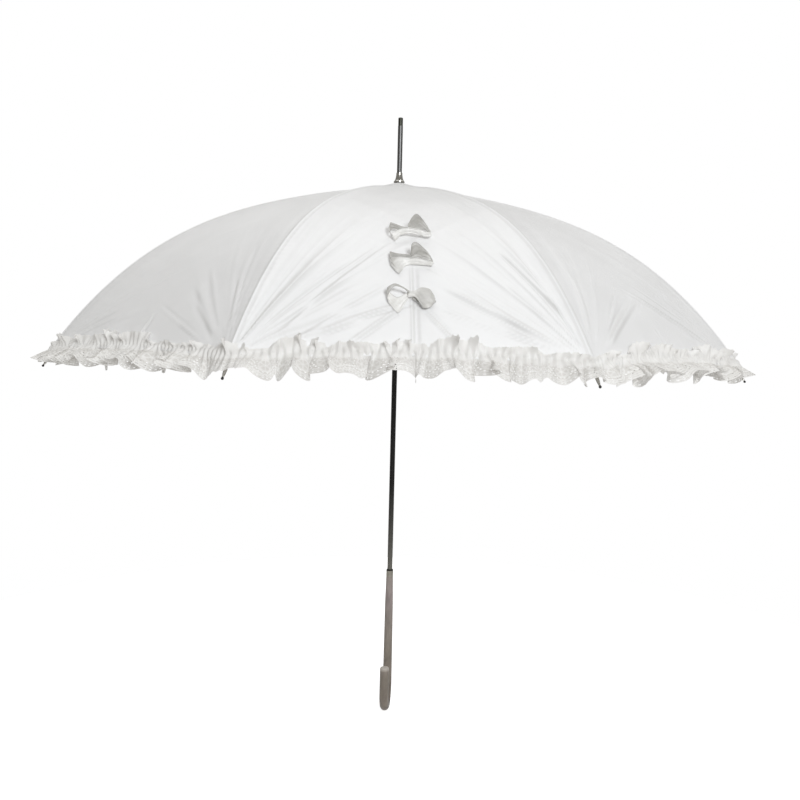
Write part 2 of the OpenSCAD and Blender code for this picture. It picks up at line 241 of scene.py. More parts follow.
def metal_material(name, colour, rough):
    """Drawn or plated metal: fine lines along its length, smudges and a little wear in its gloss."""
    material, tree, shader = new_material(name)
    set_inputs(shader, Metallic=1.0)
    lines = node(tree, "ShaderNodeTexNoise", Scale=1.0, Detail=4.0, Roughness=0.7)
    tree.links.new(coordinates(tree, METAL_STREAK), lines.inputs["Vector"])
    smudge = node(tree, "ShaderNodeTexNoise", Scale=1.0, Detail=5.0, Roughness=0.6)
    tree.links.new(coordinates(tree, (90, 90, 40)), smudge.inputs["Vector"])
    dark = tuple(c * 0.9 for c in colour)
    colours = ramp(tree, smudge.outputs["Fac"], [(0.3, dark), (0.65, colour)])
    tree.links.new(colours, shader.inputs["Base Color"])
    gloss = ramp(tree, smudge.outputs["Fac"], [(0.3, grey(rough + METAL_WEAR)), (0.7, grey(rough))])
    tree.links.new(gloss, shader.inputs["Roughness"])
    add_bump(tree, shader, [lines.outputs["Fac"]], [0.0000015])
    return material


def shaft_material():
    """Black nickel with painted light and shade: lighter towards the handle, where more light reaches the shaft below
    the canopy, and near black under it.
    """
    material, tree, shader = new_material("shaft_black_nickel")
    set_inputs(shader, Metallic=0.35, Specular_IOR_Level=0.5)
    place = node(tree, "ShaderNodeSeparateXYZ")
    tree.links.new(coordinates(tree, (1, 1, 1)), place.inputs["Vector"])
    height = node(tree, "ShaderNodeMapRange")
    low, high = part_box("handle_ring")[1].z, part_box("runner")[0].z
    height.inputs["From Min"].default_value = low
    height.inputs["From Max"].default_value = high
    tree.links.new(place.outputs["Z"], height.inputs["Value"])
    # painted light and shade: lighter near the handle, darkest under the canopy
    colours = ramp(
        tree,
        height.outputs["Result"],
        [(0.0, (0.13, 0.125, 0.11)), (0.12, (0.07, 0.068, 0.06)), (0.3, grey(0.010)), (1.0, grey(0.007))],
    )
    tree.links.new(colours, shader.inputs["Base Color"])
    smudge = node(tree, "ShaderNodeTexNoise", Scale=1.0, Detail=6.0, Roughness=0.6)
    tree.links.new(coordinates(tree, (60, 60, 25)), smudge.inputs["Vector"])
    gloss = ramp(tree, smudge.outputs["Fac"], [(0.3, grey(0.32)), (0.75, grey(0.2))])
    tree.links.new(gloss, shader.inputs["Roughness"])
    add_bump(tree, shader, [smudge.outputs["Fac"]], [0.00002])
    return material


def handle_material():
    """Taupe moulded plastic: warmer low down and mauve higher up, with faint flow marks, gloss made uneven by wear,
    painted shade at its edges and painted light on the top of the crook's end.
    """
    material, tree, shader = new_material("handle_taupe")
    set_inputs(shader, Specular_IOR_Level=0.35, Coat_Weight=0.1, Coat_Roughness=0.25)
    place = node(tree, "ShaderNodeSeparateXYZ")
    tree.links.new(coordinates(tree, (1, 1, 1)), place.inputs["Vector"])
    height = node(tree, "ShaderNodeMapRange")
    height.inputs["From Min"].default_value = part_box("handle")[0].z
    height.inputs["From Max"].default_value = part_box("handle")[1].z
    tree.links.new(place.outputs["Z"], height.inputs["Value"])
    tones = ramp(
        tree,
        height.outputs["Result"],
        [
            (0.0, (0.175, 0.147, 0.122)), (0.4, (0.205, 0.176, 0.145)), (0.62, (0.23, 0.2, 0.175)),
            (0.85, (0.31, 0.262, 0.252)), (1.0, (0.27, 0.237, 0.215)),
        ],
    )
    flow = node(tree, "ShaderNodeTexNoise", Scale=1.0, Detail=5.0, Roughness=0.65, Distortion=0.6)
    tree.links.new(coordinates(tree, (70, 70, 28)), flow.inputs["Vector"])
    marks = ramp(tree, flow.outputs["Fac"], [(0.35, grey(0.72)), (0.6, grey(1.05))])
    marked = multiplied(tree, tones, marks)
    # painted shade: darker where the surface turns edge-on
    facing = node(tree, "ShaderNodeLayerWeight", Blend=0.5)
    edges = ramp(tree, facing.outputs["Facing"], [(0.45, grey(1.0)), (0.95, grey(0.6))])
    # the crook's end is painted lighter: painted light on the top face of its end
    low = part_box("handle")[0]
    end = node(tree, "ShaderNodeVectorMath", operation="DISTANCE")
    tree.links.new(coordinates(tree, (1, 1, 1)), end.inputs[0])
    end.inputs[1].default_value = (low.x + CROOK_R, low.y + CROOK_R, low.z + CROOK_RISE)
    painted_light_end = node(tree, "ShaderNodeMix", data_type="RGBA")
    painted_light_mask = ramp(tree, end.outputs["Value"], [(CROOK_R * 0.9, grey(1.0)), (CROOK_R * 1.3, grey(0.0))])
    tree.links.new(painted_light_mask, painted_light_end.inputs["Factor"])
    tree.links.new(multiplied(tree, marked, edges), painted_light_end.inputs["A"])
    painted_light_end.inputs["B"].default_value = (0.64, 0.6, 0.55, 1)
    tree.links.new(painted_light_end.outputs["Result"], shader.inputs["Base Color"])
    gloss = ramp(tree, flow.outputs["Fac"], [(0.3, grey(0.42)), (0.7, grey(0.3))])
    tree.links.new(gloss, shader.inputs["Roughness"])
    grain = node(tree, "ShaderNodeTexNoise", Scale=1.0, Detail=3.0)
    tree.links.new(coordinates(tree, (900, 900, 900)), grain.inputs["Vector"])
    add_bump(tree, shader, [grain.outputs["Fac"], flow.outputs["Fac"]], [0.00004, 0.0002])
    return material


def plastic_material(name, colour, rough):
    """Plain moulded plastic with a faint grain."""
    material, tree, shader = new_material(name)
    grain = node(tree, "ShaderNodeTexNoise", Scale=1.0, Detail=4.0, Roughness=0.6)
    tree.links.new(coordinates(tree, (500, 500, 500)), grain.inputs["Vector"])
    light = tuple(min(1, c * 1.5) for c in colour)
    colours = ramp(tree, grain.outputs["Fac"], [(0.35, colour), (0.75, light)])
    tree.links.new(colours, shader.inputs["Base Color"])
    gloss = ramp(tree, grain.outputs["Fac"], [(0.3, grey(rough)), (0.7, grey(rough + 0.12))])
    tree.links.new(gloss, shader.inputs["Roughness"])
    add_bump(tree, shader, [grain.outputs["Fac"]], [0.00005])
    return material


SATIN = cloth_material("satin_white", (0.945, 0.947, 0.955), (0.92, 0.922, 0.93), 0.38, 2600, 0.12, 0.25, 0.72)
LACE = cloth_material("lace_white", (0.96, 0.955, 0.945), (0.91, 0.90, 0.885), 0.6, 1800, 0.28, 0.2, 0.82)
# The ribbon's dark tone, in small patches, is painted shade.
RIBBON = cloth_material(
    "ribbon_white", (0.96, 0.955, 0.945), (0.74, 0.73, 0.70), 0.32, 2200, 0.03, 0.1, 0.6, patch=75
)
SHAFT = shaft_material()
CHROME = metal_material("ferrule_nickel", (0.15, 0.15, 0.15), 0.42)
BELL = metal_material("bell_chrome", (0.5, 0.49, 0.46), 0.2)
STEEL = metal_material("frame_steel", (0.52, 0.52, 0.51), 0.34)
COLLAR = metal_material("collar_nickel", (0.36, 0.345, 0.3), 0.3)
CAP = metal_material("cap_grey", (0.06, 0.062, 0.052), 0.4)
DARK = metal_material("ring_dark", (0.035, 0.035, 0.03), 0.4)
BLACK = plastic_material("runner_black", (0.012, 0.012, 0.012), 0.3)
BALL = plastic_material("tip_black", (0.01, 0.01, 0.01), 0.25)
HANDLE = handle_material()


# ---------------------------------------------------------------- mesh help


def set_shade(obj, values):
    """Stores how much painted shade each point of a cloth takes, from 0 to 1."""
    values = np.clip(values, 0, 1).astype(np.float32).ravel()
    obj.data.attributes.new("shade", "FLOAT", "POINT").data.foreach_set("value", values)


def crease_shade(n, plain):
    """How far a cloth's creases turn it from the plain dome, as painted shade from 0 to 1."""
    turned = 1 - np.sum(n * plain, -1)
    return 0.9 * turned / (turned + 0.07) - 0.05


def piece(name, points, faces, material, body, uv=None, normals=None):
    """A smooth mesh piece that rides on a body and takes its finish from a slot."""
    points = np.asarray(points, np.float64)
    counts = np.array([len(f) for f in faces])
    if len(set(counts)) > 1:
        corners = np.concatenate([np.asarray(f, np.int64) for f in faces])
    else:
        corners = np.asarray(faces).ravel()
    starts = np.concatenate([[0], np.cumsum(counts)[:-1]])
    if normals is not None:
        a, b, c = (points[corners[starts + i]] for i in range(3))
        if (np.cross(b - a, c - a) * np.asarray(normals)[corners[starts]]).sum() < 0:
            corners = np.asarray(faces)[:, ::-1].ravel()
    mesh = bpy.data.meshes.new(name)
    mesh.vertices.add(len(points))
    mesh.vertices.foreach_set("co", points.ravel())
    mesh.loops.add(len(corners))
    mesh.loops.foreach_set("vertex_index", corners.astype(np.int32))
    mesh.polygons.add(len(counts))
    mesh.polygons.foreach_set("loop_start", starts.astype(np.int32))
    mesh.update(calc_edges=True)
    mesh.polygons.foreach_set("use_smooth", np.ones(len(mesh.polygons), bool))
    if uv is not None:
        layer = mesh.uv_layers.new(name="cut")
        layer.data.foreach_set("uv", np.asarray(uv, np.float32)[corners].ravel())
    mesh.validate()
    mesh.materials.append(material)
    if normals is not None:
        mesh.normals_split_custom_set_from_vertices(np.asarray(normals).tolist())
    mesh.update()
    made = bpy.data.objects.new(name, mesh)
    bpy.context.scene.collection.objects.link(made)
    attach(made, body)
    return made


def grid_faces(rows, cols):
    """The quads of a grid whose points are listed row by row."""
    i, j = np.meshgrid(np.arange(rows - 1), np.arange(cols - 1), indexing="ij")
    a = (i * cols + j).ravel()
    return np.stack([a, a + 1, a + cols + 1, a + cols], 1)


def area_of(mesh):
    areas = np.zeros(len(mesh.polygons))
    mesh.polygons.foreach_get("area", areas)
    return float(areas.sum())


# ---------------------------------------------------------------- canopy

BOW_RADII = {"bow_top": 0.312, "bow_middle": 0.352, "bow_bottom": 0.395}
HEM_ARC = float(arc(HEM_R))
HEM_HALF_WIDTH = HEM_R * SIN_HALF


def ridge(x, y, start, end, depth, width, fade=0.25):
    """Height of a fold along a line: a ridge with a shallow valley on one side, fading at both ends."""
    a, b = np.array(start), np.array(end)
    length = np.linalg.norm(b - a)
    d = (b - a) / length
    along = ((x - a[0]) * d[0] + (y - a[1]) * d[1]) / length
    across = (x - a[0]) * -d[1] + (y - a[1]) * d[0]
    window = smooth(0, fade, along) * smooth(1, 1 - fade, along)
    across = across / width
    return depth * window * (np.exp(-(across**2)) - 0.7 * np.exp(-((across - 1.5) ** 2)))


def panel_folds(k):
    """Seeded folds of one panel, as (start, end, depth, width) in metres across and up from the hem."""
    rng = np.random.default_rng(40 + k)
    folds = []
    for side in (-1, 1):
        for _ in range(7):
            lean = math.radians(rng.uniform(24, 72))
            near, far = rng.uniform(0.02, 0.06), rng.uniform(0.12, 0.24)
            corner = np.array([side * HEM_HALF_WIDTH, 0.0])
            way = np.array([-side * math.sin(lean), math.cos(lean)])
            depth = rng.uniform(0.0003, 0.0007) * (1 if rng.random() < 0.6 else -1)
            folds.append((corner + way * near, corner + way * far, depth, rng.uniform(0.0022, 0.004)))
    return folds


def front_folds():
    """Folds of the bowed panel: long ones that run up to the bows, and a fan below the lowest bow."""
    low_bow = HEM_ARC - float(arc(BOW_RADII["bow_bottom"]))
    top_bow = HEM_ARC - float(arc(BOW_RADII["bow_top"]))
    corner = HEM_HALF_WIDTH
    return [
        ((-corner + 0.035, 0.016), (-0.008, top_bow - 0.005), 0.0008, 0.0026),
        ((-corner + 0.05, 0.012), (-0.012, low_bow + 0.03), 0.0007, 0.0030),
        ((-0.012, low_bow - 0.010), (-0.062, 0.018), 0.0012, 0.0022),
        ((-0.016, low_bow - 0.004), (-0.10, 0.024), 0.0009, 0.0026),
        ((0.010, low_bow - 0.010), (0.048, 0.012), 0.0010, 0.0022),
        ((0.014, low_bow - 0.002), (0.10, 0.030), 0.0009, 0.0026),
        ((corner - 0.022, 0.055), (0.085, 0.165), 0.0009, 0.0020),
        ((corner - 0.04, 0.02), (0.02, low_bow + 0.05), 0.0006, 0.0030),
    ]


FOLDS = {k: panel_folds(k) + (front_folds() if k == 1 else []) for k in range(1, PANELS + 1)}
FRONT_CREASE, CREASE = 0.36, 0.09  # how strong the creases that fan out of a panel's corners are


def relief(k, r, t):
    """How far the cloth stands proud of the plain dome: folds, creases, seam ridge and a slight hollow."""
    rng = np.random.default_rng(7 * k)
    x = t * r * SIN_HALF
    q = (1 - np.abs(t)) * r * SIN_HALF
    y = HEM_ARC - arc(r)
    inside = smooth(0.0, 0.010, q)
    h = -0.0028 * (1 - t * t) * np.sin(np.pi * np.clip(r / HEM_R, 0, 1)) * smooth(0, 0.1, r)
    h = h + 0.0017 * np.exp(-r / 0.012) - 0.0016 * np.exp(-(((r - 0.05) / 0.032) ** 2))
    # folds that fan out from the two rib tips, between the rib and the hem
    for side in (-1, 1):
        dx = HEM_HALF_WIDTH - side * x
        rho = np.hypot(dx, y) + 1e-6
        phi = np.arctan2(dx, y)
        fan = 0
        for n, size in ((15, 0.7), (27, 1.0), (44, 1.2), (70, 1.1)):
            turn = n * phi + rng.uniform(0, 6.28) + rng.uniform(-7, 7) * rho
            crest = 2.2 * (1 - np.abs(np.sin(turn / 2))) ** 1.5 - 0.8
            fan = fan + size / n * crest
        lean = smooth(0.10, 0.26, phi) * (1 - 0.75 * smooth(0.5, 1.15, phi)) * (1 - smooth(1.35, 1.5, phi))
        reach = smooth(0.008, 0.03, rho) * np.exp(-rho / 0.105) * rho
        h = h + (FRONT_CREASE if k == 1 else CREASE) * fan * lean * reach * inside
    for start, end, depth, width in FOLDS[k]:
        h = h + ridge(x, y, start, end, depth, width) * inside
    # the fold line down the panel's middle, from being packed
    length = 0.135 if k == 1 else 0.05 + 0.04 * rng.random()
    middle = smooth(length, length - 0.03, y)
    h = h + middle * (0.0008 * np.exp(-((x / 0.0015) ** 2)) - 0.0011 * np.exp(-(((x - 0.0038) / 0.003) ** 2)))
    for _ in range(5):
        a, b = rng.uniform(-70, 70), rng.uniform(-45, 45)
        h = h + 0.00018 * np.sin(a * x + b * y + rng.uniform(0, 6.28)) * smooth(0.004, 0.03, q)
    # puckers beside the seams and gathers above the hem
    pucker = np.sin(arc(r) * 2 * np.pi / 0.0085 + 2.2 * np.sin(arc(r) * 31 + k))
    h = h + 0.00016 * pucker * np.exp(-q / 0.006) * smooth(0.0006, 0.003, q) * smooth(0.03, 0.08, r)
    gather = np.sin(x * 2 * np.pi / 0.0105 + 1.7 * np.sin(x * 60 + k))
    h = h + 0.00035 * gather * np.exp(-y / 0.010) * inside
    # the sewn seam over the rib
    beside_seam = 0.0002 * np.exp(-(((q - 0.0032) / 0.001) ** 2)) * smooth(0.01, 0.03, r)
    return h + 0.00045 * np.exp(-((q / 0.0013) ** 2)) - beside_seam


def plain_point(k, r, t):
    out, side = bearing_axes(panel_bearing(k))
    return (
        np.multiply.outer(r * COS_HALF, out)
        + np.multiply.outer(t * r * SIN_HALF, side)
        + np.multiply.outer(APEX_Z - dome(r), UP)
    )


def plain_normal(k, r):
    """The outward normal of the plain dome, which is the same all across a panel's row."""
    out, _ = bearing_axes(panel_bearing(k))
    slope = dome_slope(r) / COS_HALF
    n = np.multiply.outer(slope, out) + UP
    return n / np.linalg.norm(n, axis=-1, keepdims=True)


def cloth_point(k, r, t, lift=0.0):
    """A point of the finished cloth; the relief's direction turns smoothly over the ribs."""
    rib_turn = 0.5 * smooth(0.012, 0.0, (1 - np.abs(t)) * r * SIN_HALF) * np.sign(t)
    n = plain_normal(k, r)
    beside = [plain_normal(k % PANELS + 1, r), plain_normal((k - 2) % PANELS + 1, r)]
    w = np.abs(rib_turn)[..., None]
    other = np.where((rib_turn > 0)[..., None], beside[0], beside[1])
    n = n * (1 - w) + other * w
    n /= np.linalg.norm(n, axis=-1, keepdims=True)
    return plain_point(k, r, t) + n * (relief(k, r, t) + lift)[..., None]


def cloth_normal(k, r, t):
    """Normals of the finished cloth, from its own slopes."""
    e = 0.0008
    dr = cloth_point(k, r + e, t) - cloth_point(k, r - e, t)
    step = e / np.maximum(r * SIN_HALF, 0.002)
    ta, tb = np.clip(t + step, -1, 1), np.clip(t - step, -1, 1)
    dt = cloth_point(k, r, ta) - cloth_point(k, r, tb)
    n = np.cross(dr, dt)
    n *= np.sign(np.sum(n * plain_normal(k, r), -1, keepdims=True))
    return n / np.maximum(np.linalg.norm(n, axis=-1, keepdims=True), 1e-12)


def closed_radius(r):
    """How far a point of the rib ends up from the shaft's axis when the parasol is closed."""
    down = CROWN_Z - (APEX_Z - dome(r))
    return HINGE_R + (r - HINGE_R) * math.cos(FOLD) - down * math.sin(FOLD)


def band_width(r):
    """Half the width of the cloth along each rib that stays flat when the canopy folds."""
    w = closed_radius(r) * SIN_HALF - 0.006
    return np.minimum(np.maximum(w, 0.003), 0.5 * r * SIN_HALF)


def fold_flat(obj):
    """Gives a soft piece its own copy of its mesh."""

    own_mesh(obj)


ROWS = 290
FRONT_COLUMNS, COLUMNS = 150, 70  # across half a panel: the bowed one and the others
TUCK = 0.0025
SEAM_COLUMNS = np.array([0, 0.03, 0.06, 0.09, 0.13, 0.17, 0.22, 0.3, 0.42, 0.56, 0.7, 0.85, 1.0])


def rib_grid(across):
    """A grid of radii, r, and places across the panel, t, where across(r) gives metres from the rib."""
    along = (np.linspace(0, 1, ROWS)[:, None]) ** 0.93
    t = 1.0
    for _ in range(6):
        r = CROWN_R + along * (hem_radius(t) - CROWN_R)
        t = 1 - across(r) / (r * SIN_HALF)
    return np.broadcast_to(r, t.shape), t


def cloth_piece(name, body, p, n, uv):
    """A piece of satin from a grid of points, normals and places in the cut."""
    faces = grid_faces(*p.shape[:2])
    return piece(name, p.reshape(-1, 3), faces, SATIN, body, uv.reshape(-1, 2), n.reshape(-1, 3))


def seam_band(k):
    """The cloth over one rib, with its sewn seam: a strip of the panel on each side of it."""
    r, t = rib_grid(lambda r: SEAM_COLUMNS[None, :] * band_width(r))
    width = (1 - t) * r * SIN_HALF
    before, after = (k - 2) % PANELS + 1, k
    p = np.concatenate([cloth_point(before, r, t)[:, :0:-1], cloth_point(after, r, -t)], 1)
    n = np.concatenate([cloth_normal(before, r, t)[:, :0:-1], cloth_normal(after, r, -t)], 1)
    middle = len(SEAM_COLUMNS) - 1
    n[:, middle] += cloth_normal(before, r, t)[:, 0]
    n[:, middle] /= np.linalg.norm(n[:, middle], axis=-1, keepdims=True)
    across, along = np.concatenate([-width[:, :0:-1], width], 1), np.concatenate([arc(r)[:, :0:-1], arc(r)], 1)
    uv = np.stack([across, along], -1)
    made = cloth_piece(f"canopy_seam_{k}", f"rib_{k}", p, n, uv)
    # painted shade along the groove that runs beside the seam on each side
    set_shade(made, 0.3 * smooth(0.0018, 0.0010, np.abs(np.abs(uv[..., 0]) - 0.003)))
    declare_cloth(made, 2 * float(width.max()), HEM_ARC)
    return made


def declare_cloth(obj, wide, long):
    area = min(max(area_of(obj.data), 0.31 * wide * long), wide * long)


def half_panel(k, half):
    """Half a satin panel, from under its seam's edge to its middle; half is -1 on the lower bearing's side."""
    rib = k if half < 0 else k % PANELS + 1
    columns = FRONT_COLUMNS if k == 1 else COLUMNS
    share = np.concatenate([[0], 1 - (1 - np.linspace(0, 1, columns)) ** 1.15])
    tucked = np.arange(columns + 1) == 0

    def across(r):
        w = band_width(r)
        return w + share * (r * SIN_HALF - w) - tucked * np.minimum(TUCK, 0.5 * w)

    r, t = rib_grid(across)
    p = cloth_point(k, r, half * t, -0.0004 * tucked)
    n = cloth_normal(k, r, half * t)
    uv = np.stack([half * t * r * SIN_HALF, arc(r)], -1)
    name = f"canopy_panel_{k}_{'a' if half < 0 else 'b'}"
    made = cloth_piece(name, f"rib_{rib}", p, n, uv)
    # painted shade in the creases, none near the crown
    set_shade(made, crease_shade(n, plain_normal(k, r)) * smooth(0.06, 0.12, r))
    declare_cloth(made, HEM_HALF_WIDTH, HEM_ARC)
    fold_flat(made)
    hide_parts(f"canopy_panel_{k}")
    return made


for k in range(1, PANELS + 1):
    seam_band(k)
    for half in (-1, 1):
        half_panel(k, half)


# ---------------------------------------------------------------- lace frill

FULLNESS = 1.55
REPEATS = 10
HALF_CUT = HEM_HALF_WIDTH * FULLNESS
REPEAT = HALF_CUT / REPEATS
CUT = 2 * PANELS * HALF_CUT
HEADING = 0.011
FLOUNCE = 0.027
LACE_H = HEADING + FLOUNCE
CELL = 0.00085
SCALLOP = 0.0050


def lace_field(u, v):
    """Thread is where the first answer is above 0; the second is 1 on dense motifs and 0 on fine net.

    u runs along the hem within one repeat, v down from the top edge.
    """
    from_middle = np.abs((u + REPEAT / 2) % REPEAT - REPEAT / 2)
    edge = LACE_H - SCALLOP * (1 - np.cos(2 * np.pi * from_middle / REPEAT)) / 2
    to_edge = edge - v
    # net of small holes in staggered rows
    pitch = REPEAT / 9
    row = np.round(v / (pitch * 0.87))
    hole_u = (u + 0.5 * pitch * (row % 2)) % pitch - pitch / 2
    hole_v = v - row * pitch * 0.87
    thread = np.hypot(hole_u, hole_v) - 0.0007 * smooth(HEADING + 0.002, HEADING + 0.009, v)
    motif = smooth(HEADING + 0.012, HEADING + 0.002, v)
    # flowers on solid cloth, with petals of thin tulle
    for centre_u, centre_v, radius, petals in ((0.0, 0.0235, 0.0052, 6), (REPEAT / 2, 0.0200, 0.0040, 5)):
        du = (u - centre_u + REPEAT / 2) % REPEAT - REPEAT / 2
        dv = v - centre_v
        angle, rho = np.arctan2(du, dv), np.hypot(du, dv)
        thread = np.maximum(thread, radius * 1.12 - rho)
        thread = np.minimum(thread, rho - 0.0005)
        tulle = smooth(0.35, 0.55, np.abs(np.sin(petals * angle / 2)))
        tulle = tulle * smooth(0.0018, 0.0012, np.abs(rho - radius * 0.62))
        motif = np.where(rho < radius * 1.12, 1 - tulle, motif)
    # scalloped border: three cords that follow the edge, joined by short bars
    cords = np.full_like(to_edge, -1.0)
    for place, half_width in ((0.0008, 0.0008), (0.0032, 0.0007), (0.0054, 0.0007)):
        cords = np.maximum(cords, half_width - np.abs(to_edge - place))
    bars = 0.0007 - np.abs((u + REPEAT / 18) % (REPEAT / 9) - REPEAT / 18)
    border = np.maximum(cords, bars)
    thread = np.where(to_edge < 0.0060, border, thread)
    for place in (0.0008, 0.0032, 0.0054, 0.0085):
        motif = np.maximum(motif, smooth(0.0012, 0.0004, np.abs(to_edge - place)))
    # closely woven heading with a picot edge
    solid = HEADING + 0.004 + 0.0022 * np.sin(2 * np.pi * u / REPEAT)
    thread = np.where(v < solid, 1.0, thread)
    picot = v - 0.0012 * np.abs(np.sin(np.pi * u / (REPEAT / 6))) - 0.0001
    return np.minimum(np.minimum(thread, picot), to_edge), motif


def lace_repeat():
    """One repeat of the lace as flat points and faces, cut along the edge of its threads."""
    nu, nv = int(round(REPEAT / CELL)), int(round((LACE_H + CELL) / CELL))
    us, vs = np.linspace(0, REPEAT, nu + 1), np.linspace(0, LACE_H + CELL, nv + 1)
    field, _ = lace_field(us[:, None] + 0 * vs, vs[None, :] + 0 * us[:, None])
    field[-1] = field[0]
    points, index, faces = [], {}, []

    def corner(i, j):
        key = (i, j)
        if key not in index:
            index[key] = len(points)
            points.append((us[i], vs[j]))
        return index[key]

    def crossing(a, b):
        key = (min(a, b), max(a, b))
        if key not in index:
            (i, j), (m, n) = key
            share = np.clip(field[i, j] / (field[i, j] - field[m, n]), 0.08, 0.92)
            index[key] = len(points)
            points.append((us[i] + share * (us[m] - us[i]), vs[j] + share * (vs[n] - vs[j])))
        return index[key]

    for i in range(nu):
        for j in range(nv):
            ring = [(i, j), (i, j + 1), (i + 1, j + 1), (i + 1, j)]
            shape = []
            for a, b in zip(ring, ring[1:] + ring[:1]):
                if field[a] > 0:
                    shape.append(corner(*a))
                if (field[a] > 0) != (field[b] > 0):
                    shape.append(crossing(a, b))
            if len(shape) > 2:
                faces.append(shape)
    return np.array(points), faces


def waves(u, cycles, seed, wander=0.9):
    """A phase that grows with u and wanders; it comes round smoothly after the whole cut."""
    rng = np.random.default_rng(seed)
    phase = 2 * np.pi * cycles * u / CUT + rng.uniform(0, 6.28)
    for n in range(3, 40, 4):
        phase = phase + wander * rng.uniform(0.3, 1) * np.sin(2 * np.pi * n * u / CUT + rng.uniform(0, 6.28))
    return phase


def swell(u, seed, low=0.6, high=1.3):
    """A size that changes from fold to fold, round the whole cut."""
    rng = np.random.default_rng(seed)
    total = np.zeros_like(u)
    for n in (7, 13, 22, 37, 51):
        total = total + np.sin(2 * np.pi * n * u / CUT + rng.uniform(0, 6.28)) / 2.2
    return low + (high - low) * (0.5 + 0.5 * np.clip(total, -1, 1))


def lace_point(k, half, u, v):
    """Where a point of the flat lace ends up: u is 0 at the panel's lower-bearing rib for half -1."""
    s = (u if half < 0 else u + HALF_CUT) / FULLNESS
    t = np.clip(s / HEM_HALF_WIDTH - 1, -1, 1)
    whole = (k - 1) * 2 * HALF_CUT + s * FULLNESS
    r = hem_radius(t)
    out, side = bearing_axes(panel_bearing(k))
    # the outward direction turns smoothly over the ribs
    turn = np.sign(t) * HALF * np.abs(t) ** 6
    out_t = np.cos(turn)[:, None] * out + np.sin(turn)[:, None] * side
    side_t = np.cos(turn)[:, None] * side - np.sin(turn)[:, None] * out
    seam = plain_point(k, radius_at(arc(r) - 0.0035), t)
    slope = np.arctan(dome_slope(HEM_R) / COS_HALF)
    fall = np.cos(slope) * out_t - np.sin(slope) * UP
    proud = np.sin(slope) * out_t + np.cos(slope) * UP
    near_rib = np.abs(t) ** 14
    big, mid, small = waves(whole, 57, 3, 1.3), waves(whole, 149, 5, 1.5), waves(whole, 404, 8, 0.5)
    curl = waves(whole, 96, 31, 1.9)
    down = np.clip(v - HEADING, 0, None)
    over = np.clip(HEADING - v, 0, None)
    w, h = down / FLOUNCE, over / HEADING
    # the flounce leaves along the cloth, then hangs; beside the rib tips it is short and held out
    tilt = (0.68 + 0.40 * np.sin(big)) * (1 - near_rib) + 0.62 * near_rib
    leave = smooth(0, 0.45, w)
    drop = (1 - leave)[:, None] * fall + leave[:, None] * (
        np.sin(tilt)[:, None] * out_t - np.cos(tilt)[:, None] * UP
    )
    length = down * (1 + 0.08 * np.sin(waves(whole, 97, 22)) - 0.28 * near_rib)
    lean = 0.46 + (0.5 * np.sin(curl) + 0.2 * np.sin(mid)) * smooth(0, 0.7, h)
    rise = -fall * np.cos(lean)[:, None] + proud * np.sin(lean)[:, None]
    stand = over * swell(whole, 17, 0.5, 1.55) * (1 + 0.1 * np.sin(curl + 1.2))
    off = 0.0015 + 0.0005 * np.sin(small) + 0.002 * near_rib * w
    place = seam + length[:, None] * drop + stand[:, None] * rise + proud * off[:, None]
    free = 1 - 0.85 * near_rib
    flounce_swing = 0.0085 * w**0.8 * swell(whole, 23, 0.5, 1.3) * free
    heading_swing = 0.0042 * h * swell(whole, 29, 0.4, 1.4)
    swing = flounce_swing * np.sin(big) + 0.0022 * w * np.sin(mid) * free + 0.4 * heading_swing * np.sin(curl)
    swing = swing + 0.0008 * (1 - w) ** 3 * (1 - h) ** 2 * np.sin(small)
    slide = 0.72 * flounce_swing * np.sin(2 * big)
    slide = slide + heading_swing * (0.35 * np.sin(2 * curl) + 0.6 * np.cos(curl) + 0.25 * np.cos(mid))
    return place + swing[:, None] * out_t + slide[:, None] * side_t


LACE_FLAT, LACE_FACES = lace_repeat()


def lace_half(k, half):
    rib = k if half < 0 else k % PANELS + 1
    flat = np.concatenate([LACE_FLAT + [n * REPEAT, 0] for n in range(REPEATS)])
    faces = [[i + n * len(LACE_FLAT) for i in f] for n in range(REPEATS) for f in LACE_FACES]
    keys = np.round(flat / 1e-7).astype(np.int64)
    _, first, same = np.unique(keys, axis=0, return_index=True, return_inverse=True)
    same = same.reshape(-1)
    flat = flat[first]
    faces = [[int(same[i]) for i in f] for f in faces]
    points = lace_point(k, half, flat[:, 0], flat[:, 1])
    _, motif = lace_field(flat[:, 0], flat[:, 1])
    name = f"lace_frill_{k}_{'a' if half < 0 else 'b'}"
    made = piece(name, points, faces, LACE, f"rib_{rib}", flat)
    whole = flat[:, 0] / HALF_CUT + 2 * k + max(half, 0)
    patches = 0.5 + 0.5 * np.sin(19 * whole + 3 * np.sin(7 * whole)) * np.sin(500 * flat[:, 1] + 31 * whole)
    # painted shade: the fine net and the petals' tulle are darkened for the shade seen through them, and patches of
    # painted shade lie across the lace
    set_shade(made, 1 - smooth(0.2, 0.8, motif) + 0.45 * patches)
    thread = min(area_of(made.data), HALF_CUT * LACE_H)
    fold_flat(made)
    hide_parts(f"lace_frill_{k}")
    return made


for k in range(1, PANELS + 1):
    for half in (-1, 1):
        lace_half(k, half)


# ---------------------------------------------------------------- bows

